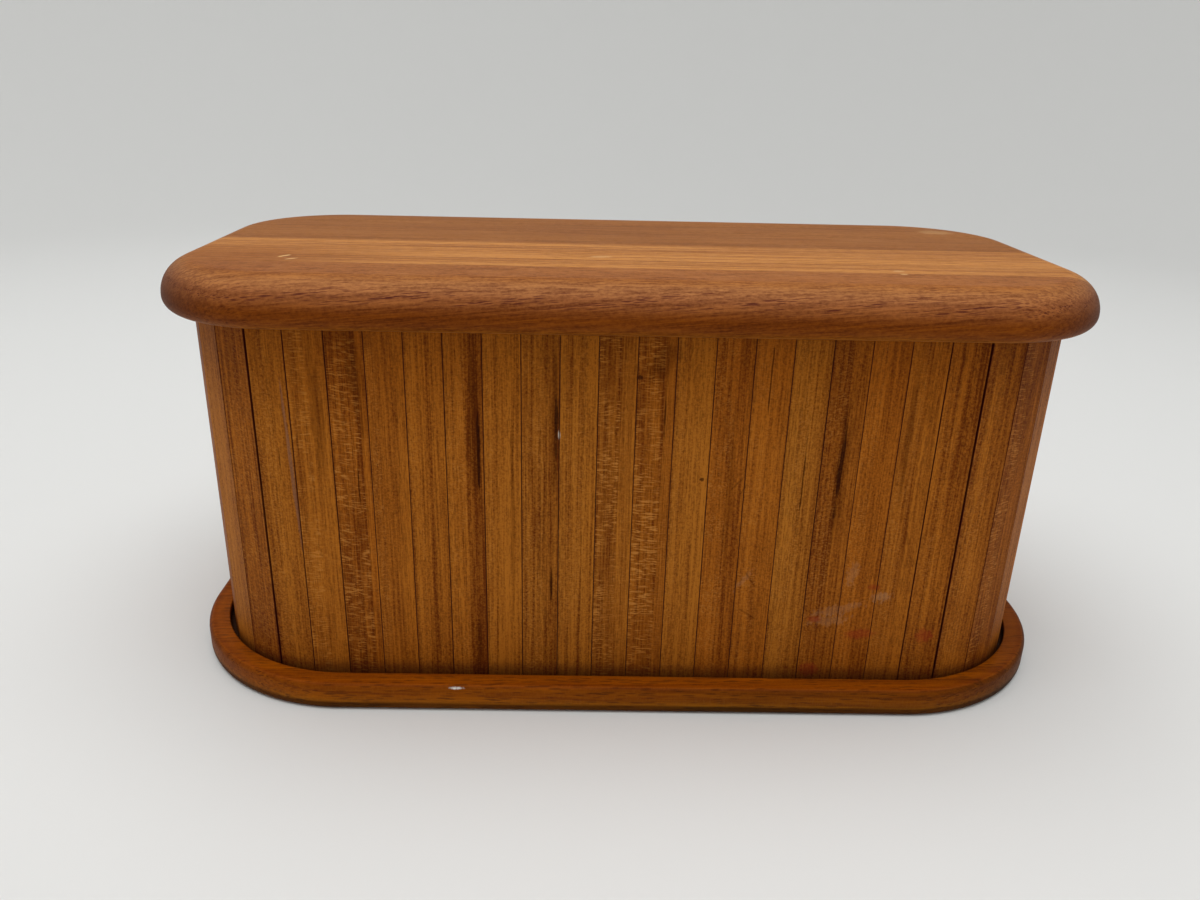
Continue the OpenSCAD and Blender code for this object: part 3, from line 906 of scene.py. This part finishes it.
def grown_mesh(start, tree, name, values):
    """Runs a geometry tree on an object and keeps the result as a mesh."""
    grower = start.modifiers.new("grower", "NODES")
    grower.node_group = tree
    for socket in tree.interface.items_tree:
        if socket.item_type == "SOCKET" and socket.in_out == "INPUT" and socket.name in values:
            grower[socket.identifier] = values[socket.name]
    seen = bpy.context.evaluated_depsgraph_get()
    mesh = bpy.data.meshes.new_from_object(
        start.evaluated_get(seen), preserve_all_data_layers=True, depsgraph=seen
    )
    mesh.name = name
    bpy.data.objects.remove(start)
    return placed(name, mesh)


wall = grown_mesh(joints_round(), slat_tree(), "wall_slats", {"Wood": slat_teak()})
wall.data.shade_flat()
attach(wall, "box")
slat_nodes = [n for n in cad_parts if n.startswith(("front_slat_", "back_slats_"))]
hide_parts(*slat_nodes)


# ============================================================== lid boards
# Three teak boards glued edge to edge into one slab, sawn round at the
# corners and moulded to a full round edge. The middle one is paler and
# straight in the grain; the front one is coarse, with long open pores.

LID_SIZE = (326.0, 152.0, 46.0)
LID_UNDER, LID_TOP, EDGE_UPPER, EDGE_LOWER = 137.5, 154.5, 12.0, 5.0
SEAM_FRONT, SEAM_BACK = -47.5, 0.0
UNDER_CAP_INSET, TOP_CAP_INSET = 17.0, 22.0
# The height where the pores lie most open, along the upper round's front, and
# where on the lid a browned board begins to deepen and is deepest.
NOSE_HEIGHT, BROWNED_ALONG, BROWNED_BACK = 149.0, (-60.0, -135.0), (-6.0, -32.0)
# The edge's colour from under it to the top, as painted light and shade: painted
# shade on the under round and the lower part of the upper round, a little less at
# the very under edge, and a painted sheen just below the flat top.
PAINTED_SHADING_ROUND = (
    (0.0, (0.92, 0.82, 0.4)), (0.05, (0.87, 0.83, 0.44)), (0.125, (0.66, 0.51, 0.19)),
    (0.22, (0.62, 0.44, 0.12)), (0.35, (0.61, 0.42, 0.1)), (0.476, (0.69, 0.55, 0.39)),
    (0.594, (0.91, 0.86, 1.0)), (0.7, (0.89, 0.87, 1.2)), (0.79, (1.15, 1.27, 1.85)),
    (0.89, (1.15, 1.32, 1.88)), (0.96, (1.11, 1.22, 1.5)), (1.0, (1.0, 1.0, 1.0)),
)


def lid_slab(name):
    """The whole slab, before it is parted at the glue lines."""
    rings = [(UNDER_CAP_INSET, LID_UNDER)]
    rings += eased(EDGE_LOWER, LID_UNDER + EDGE_LOWER, EDGE_LOWER, -90, 0, 10)
    rings += eased(EDGE_UPPER, LID_TOP - EDGE_UPPER, EDGE_UPPER, 0, 90, 18)[1:]
    rings.append((TOP_CAP_INSET, LID_TOP))
    return moulded(name, LID_SIZE, rings)


def lid_board(name, near, far):
    """The slab's part between two glue lines, closed along them."""
    made = lid_slab(name)
    loose = bmesh.new()
    loose.from_mesh(made.data)
    for line, side in ((near, 1), (far, -1)):
        if line is None:
            continue
        everything = loose.verts[:] + loose.edges[:] + loose.faces[:]
        cut = bmesh.ops.bisect_plane(
            loose, geom=everything, plane_co=(0, line * MM, 0), plane_no=(0, -side, 0),
            clear_outer=True,
        )["geom_cut"]
        rim = [e for e in cut if isinstance(e, bmesh.types.BMEdge)]
        bmesh.ops.edgeloop_fill(loose, edges=rim)
    bmesh.ops.recalc_face_normals(loose, faces=loose.faces)
    loose.to_mesh(made.data)
    loose.free()
    made.data.shade_smooth()
    made.data.set_sharp_from_angle(angle=radians(CREASE))
    return made


def lid_teak(name, grain, scars=(), pores=0.9, streaks=0.8, browned=0.0, **figure):
    """One lid board's teak, whose pores are most open along its front edge.
    Scars are pale scratches on its top: middle, reach, angle and strength."""
    material, tree, shader = new_finish(name, 0.05)
    seen = object_place(tree)
    across, back, high = split(tree, seen)
    ends = end_grain(tree)
    from_nose = sums(tree, "ABSOLUTE", sums(tree, "SUBTRACT", high, NOSE_HEIGHT * MM))
    wood = uses(
        tree, teak, Place=lengthwise(tree, **grain),
        Pores=fades_over(tree, from_nose, (0.5, 3.5), pores, 0.4 * pores),
        Streaks=fades(tree, ends, 0.0, 0.6, streaks, 0.3 * streaks), **figure,
    )
    colour = blends(tree, sums(tree, "MULTIPLY", ends, 0.72), wood.outputs["Color"],
                    (0.12, 0.038, 0.011, 1))
    # Painted shade and painted sheen on the round edge, by height.
    uneven = grain_swing(tree, seen, (0.15, 1, 1), 300.0)
    level = sums(tree, "MULTIPLY_ADD", uneven, 1.6 * MM, high)
    level = fades(tree, level, LID_UNDER * MM, LID_TOP * MM, smooth=False)
    colour = blends(tree, 1.0, colour, ramped(tree, level, PAINTED_SHADING_ROUND), "MULTIPLY")
    at_left = sums(tree, "MULTIPLY", fades_over(tree, across, BROWNED_ALONG, 0.0, browned),
                   fades_over(tree, back, BROWNED_BACK))
    colour = blends(tree, at_left, colour, (0.66, 0.54, 0.42, 1), "MULTIPLY")
    for (x, y), (long, wide), angle, strength in scars:
        mark = uses(
            tree, soft_mark, Place=seen, Middle=millimetres(x, y, LID_TOP),
            Reach=millimetres(long, wide, MARK_DEEP), Tilt=(0, 0, radians(angle)), Ragged=0.7,
        ).outputs[0]
        share = sums(tree, "MULTIPLY", mark, strength)
        colour = blends(tree, share, colour, (0.72, 0.45, 0.2, 1))
    surfaced(tree, shader, colour, wood.outputs["Roughness"], wood.outputs["Height"])
    return material


front_teak = lid_teak(
    "lid front teak", dict(lean=0.012, rise=0.1, drawn=2.0),
    scars=(((90.4, -48.5), (1.8, 1.2), 5, 0.6),), pores=0.95, streaks=0.7,
    Seed=21.0, Sawn=1.3, Ring_Width=0.0034, Waver=0.004,
    Depth=0.3, Lines=0.22, Flecks=0.1, Shimmer=1.2, Pore_Size=0.00042,
    Pale=(0.38, 0.131, 0.028, 1), Deep=(0.135, 0.0315, 0.006, 1),
    Pore_Colour=(0.1, 0.018, 0.008, 1), Fleck_Colour=(0.44, 0.17, 0.035, 1),
)
middle_teak = lid_teak(
    "lid middle teak", dict(lean=0.004, drawn=1.6),
    scars=(((-120, -37), (3.6, 1.1), 55, 0.9), ((-116.3, -42), (3.0, 0.9), 40, 0.8),
           ((-10.9, -27), (5.5, 2.2), 10, 0.35), ((90.4, -43), (2.6, 1.1), 0, 0.6)),
    pores=1.2, streaks=2.6, browned=0.85,
    Seed=8.0, Sawn=0.22, Ring_Width=0.0032, Waver=0.0018,
    Depth=0.06, Lines=0.85, Flecks=0.1, Pore_Size=0.0005,
    Pale=(0.515, 0.208, 0.046, 1), Deep=(0.27, 0.084, 0.018, 1),
    Pore_Colour=(0.14, 0.045, 0.01, 1), Fleck_Colour=(0.6, 0.28, 0.07, 1),
)
back_teak = lid_teak(
    "lid back teak", dict(lean=-0.006), scars=(((134, 47), (9, 7), 0, 0.22),),
    Seed=5.0, Sawn=1.35, Ring_Width=0.005, Waver=0.005,
    Depth=0.3, Lines=0.3, Flecks=0.1, Pore_Size=0.0005,
    Pale=(0.334, 0.119, 0.023, 1), Deep=(0.18, 0.054, 0.011, 1),
    Pore_Colour=(0.1, 0.03, 0.008, 1), Fleck_Colour=(0.42, 0.17, 0.045, 1),
)
for name, near, far, node, wood in (
    ("lid_front_strip", None, SEAM_FRONT, "lid_board_front", front_teak),
    ("lid_middle_strip", SEAM_FRONT, SEAM_BACK, "lid_board_middle", middle_teak),
    ("lid_back_strip", SEAM_BACK, None, "lid_board_back", back_teak),
):
    strip = lid_board(name, near, far)
    strip.data.materials.append(wood)
    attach(strip, "lid")
    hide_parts(node)


# ========================================================== brass screws
# Four slotted brass screws, countersunk into the base's underside, hold it
# to the floor panel; their slots stopped wherever the driver left them.

THREADS, THREAD_FROM, THREAD_PITCH, THREAD_ROOT = 6, 5.0, 1.3, 1.35
POINT_LONG, POINT_RADII = 1.0, (1.3, 0.15)
SLOT_WIDE, SLOT_DEEP, SLOT_ANGLES = 1.0, 1.0, (0.4, 2.1, 1.2, 2.8)
SCREW_CREASE = 30


def one_screw():
    """A screw, head down: cone, shank with a plain thread, and point."""
    profile = [(HEAD_RADIUS, SCREW_SUNK), (SHANK_RADIUS, SCREW_SUNK + HEAD_RADIUS - SHANK_RADIUS)]
    for i in range(THREADS):
        z = SCREW_SUNK + THREAD_FROM + i * THREAD_PITCH
        profile += [(THREAD_ROOT, z), (SHANK_RADIUS, z + 0.5 * THREAD_PITCH)]
    tip = SCREW_SUNK + SCREW_LONG
    profile += [(POINT_RADII[0], tip - POINT_LONG), (POINT_RADII[1], tip)]
    screw = lathed("screw", profile)
    long, wide = HEAD_RADIUS + 1.5, SLOT_WIDE / 2
    corners = [millimetres(x, y, z) for z in (-PAST_FACE, SCREW_SUNK + SLOT_DEEP)
               for y in (-wide, wide) for x in (-long, long)]
    sides = [(0, 2, 3, 1), (4, 5, 7, 6), (0, 1, 5, 4), (2, 6, 7, 3), (0, 4, 6, 2), (1, 3, 7, 5)]
    carved(screw, [mesh_object("slot", corners, sides, smooth=False)])
    return screw


def screw_tree():
    """Sets one screw at each point, turned by the point's own angle."""
    takes = {
        "Geometry": ("Geometry", None), "Screw": ("Object", None), "Metal": ("Material", None),
    }
    gives = {"Geometry": "Geometry"}
    tree, given, out = new_group("screws in place", takes, gives, "GeometryNodeTree")
    pattern = wire(tree, "GeometryNodeObjectInfo", {"Object": given["Screw"]}).outputs["Geometry"]
    angle = wire(tree, "GeometryNodeInputNamedAttribute", {"Name": "angle"}, data_type="FLOAT")
    angle = joined(tree, z=angle.outputs["Attribute"])
    set_in = wire(tree, "GeometryNodeInstanceOnPoints",
                  {"Points": given["Geometry"], "Instance": pattern, "Rotation": angle})
    real = wire(tree, "GeometryNodeRealizeInstances", {0: set_in.outputs[0]})
    done = wire(tree, "GeometryNodeSetMaterial",
                {"Geometry": real.outputs[0], "Material": given["Metal"]})
    tree.links.new(done.outputs[0], out.inputs[0])
    return tree


def old_brass():
    """Dull yellow brass, brown in its hollows and bright on worn patches."""
    material, tree, shader = new_finish("brass screws")
    place = object_place(tree)
    cloudy = grain_noise(tree, place, (1, 1, 1), 700.0, 3.0, 0.6)
    scored = grain_noise(tree, place, (1, 0.12, 1), 5200.0, 1.0)
    worn = fades(tree, cloudy, 0.38, 0.62)
    colour = blends(tree, worn, (0.24, 0.13, 0.035, 1), (0.62, 0.42, 0.14, 1))
    rough = fades(tree, cloudy, 0.3, 0.7, 0.5, 0.3)
    surfaced(tree, shader, colour, rough, scored, 0.03 * MM)
    shader.inputs["Metallic"].default_value = 1.0
    return material


screw_places = bpy.data.meshes.new("screw places")
screw_places.from_pydata([millimetres(x, y, 0.0) for x, y in SCREW_PLACES], [], [])
angles = screw_places.attributes.new("angle", "FLOAT", "POINT")
angles.data.foreach_set("value", SLOT_ANGLES)
pattern_screw = one_screw()
screws = grown_mesh(placed("screw places", screw_places), screw_tree(), "countersunk_screws",
                    {"Screw": pattern_screw, "Metal": old_brass()})
bpy.data.objects.remove(pattern_screw)
screws.data.shade_smooth()
screws.data.set_sharp_from_angle(angle=radians(SCREW_CREASE))
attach(screws, "box")
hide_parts("base_screws")


# ======================================================== canvas backing
# One strip of unbleached canvas, stretched round the box and glued to the
# backs of the slats, a little short of their feet and tops, its ends butted.

CANVAS_THICK, CANVAS_SHORT, GLUE_LINE, THREAD = 0.6, 1.5, 0.02, 0.62


def canvas_strip():
    """The strip as a thin closed ring, its weave laid out in its UV map."""
    low, high = SLAT_FOOT + CANVAS_SHORT, SLAT_TOP - CANVAS_SHORT
    rings = ((GLUE_LINE, low), (GLUE_LINE, high), (CANVAS_THICK, high), (CANVAS_THICK, low))
    points = [millimetres(x, y, z) for deep, z in rings for x, y in joint_ring(deep)]
    faces, laid = [], []
    for ring, (_, z) in enumerate(rings):
        after = (ring + 1) % len(rings)
        next_z = rings[after][1]
        for i in range(SLATS):
            here, there = ring * SLATS, after * SLATS
            j = (i + 1) % SLATS
            faces.append((here + i, here + j, there + j, there + i))
            laid += [(i, z), (i + 1, z), (i + 1, next_z), (i, next_z)]
    made = mesh_object("canvas_band", points, faces, smooth=False)
    weave = made.data.uv_layers.new(name="weave")
    for corner, (joint, z) in enumerate(laid):
        weave.uv[corner].vector = millimetres(joint * SLAT_PITCH, z)
    return made


def canvas_weave():
    """Plain weave: round threads that pass over and under one another."""
    material, tree, shader = new_finish("unbleached canvas", 0.1)
    laid = tree.nodes.new("ShaderNodeUVMap")
    laid.uv_map = "weave"
    wobble = grain_noise(tree, laid.outputs[0], (1, 1, 1), 300.0, 1.0, gives="Color")
    laid = moves(tree, "MULTIPLY_ADD", wobble, (0.3 * MM, 0.3 * MM, 0), laid.outputs[0])
    laid = moves(tree, "DIVIDE", laid, (THREAD * MM, THREAD * MM, 1))
    across, along = split(tree, laid)[:2]
    rounds = []
    for value in (across, along):
        turned = sums(tree, "SINE", sums(tree, "MULTIPLY", value, pi))
        rounds.append(sums(tree, "ABSOLUTE", turned))
    crossing = wire(tree, "ShaderNodeTexChecker", {"Vector": laid, "Scale": 1.0}).outputs["Fac"]
    over = sums(tree, "MULTIPLY", crossing, rounds[0])
    under = sums(tree, "MULTIPLY", sums(tree, "SUBTRACT", 1.0, crossing), rounds[1])
    thread = sums(tree, "ADD", over, under)
    stained = grain_noise(tree, object_place(tree), (1, 1, 1), 30.0, 3.0)
    stained = fades(tree, stained, 0.35, 0.7)
    cloth = blends(tree, stained, (0.5, 0.41, 0.27, 1), (0.4, 0.3, 0.17, 1))
    colour = blends(tree, fades(tree, thread, 0.1, 0.6), (0.17, 0.12, 0.07, 1), cloth)
    surfaced(tree, shader, colour, fades(tree, thread, 0, 1, 0.95, 0.85), thread, 0.2 * MM, 0.8)
    return material


band = canvas_strip()
band.data.materials.append(canvas_weave())
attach(band, "box")
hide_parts("canvas_backing")


# ===================================================== plywood inside parts
# Birch plywood, left bare: the floor panel, the ring that stiffens the
# wall's top, and the panel under the lid, whose edges are eased to drop in.

PLY_THICK, FLOOR_PANEL_TOP = 1.35, 16.5
PANEL_SIZE, PANEL_UNDER, PANEL_EASING = (283.8, 112.8, 33.4), 129.5, 1.0
PANEL_CAP_INSET = 6.0


def plywood_finish(name, sheet_top):
    """Pale veneer on the faces, and the plies in turn along the edges."""
    material, tree, shader = new_finish(name, 0.25)
    place = object_place(tree)
    on_face = fades(tree, looks_along(tree, 2), 0.6, 0.8)
    below = sums(tree, "SUBTRACT", sheet_top * MM, split(tree, place)[2])
    plies = sums(tree, "DIVIDE", below, PLY_THICK * MM)
    ply = sums(tree, "FLOOR", plies)
    part = sums(tree, "SUBTRACT", plies, ply)
    crosswise = sums(tree, "MODULO", ply, 2.0)
    glue = fades(tree, sums(tree, "ABSOLUTE", sums(tree, "SUBTRACT", part, 0.5)), 0.42, 0.5)
    along = grain_noise(tree, place, (0.03, 1, 1), 900.0, 3.0, 0.6)
    broad = grain_noise(tree, place, (0.06, 0.6, 1), 110.0)
    ends = grain_noise(tree, place, (1, 1, 1), 2600.0, 1.0)
    streak = fades(tree, sums(tree, "MULTIPLY_ADD", broad, 0.7, along), 0.6, 1.1)
    face = blends(tree, streak, (0.62, 0.44, 0.25, 1), (0.5, 0.31, 0.15, 1))
    edge = blends(tree, crosswise, (0.55, 0.37, 0.2, 1), (0.36, 0.22, 0.11, 1))
    edge = blends(tree, fades(tree, ends, 0.4, 0.7, 0.0, 0.4), edge, (0.22, 0.12, 0.055, 1))
    edge = blends(tree, sums(tree, "MULTIPLY", glue, 0.7), edge, (0.1, 0.05, 0.025, 1))
    colour = blends(tree, on_face, edge, face)
    rough = fades(tree, along, 0, 1, 0.7, 0.55)
    surfaced(tree, shader, colour, rough, along, 0.08 * MM)
    return material


for node, sheet_top in (("floor_panel", FLOOR_PANEL_TOP), ("top_ring", SLAT_TOP)):
    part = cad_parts[node]
    for slot in part.material_slots:
        slot.material = plywood_finish(node.replace("_", " ") + " plywood", sheet_top)

panel_rings = [(PANEL_CAP_INSET, PANEL_UNDER)]
panel_rings += eased(PANEL_EASING, PANEL_UNDER + PANEL_EASING, PANEL_EASING, -90, 0, 4)
panel_rings += [(0.0, SLAT_TOP), (PANEL_CAP_INSET, SLAT_TOP)]
panel = moulded("locating_panel", PANEL_SIZE, panel_rings)
panel.data.materials.append(plywood_finish("lid panel plywood", SLAT_TOP))
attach(panel, "lid")
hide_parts("lid_panel")
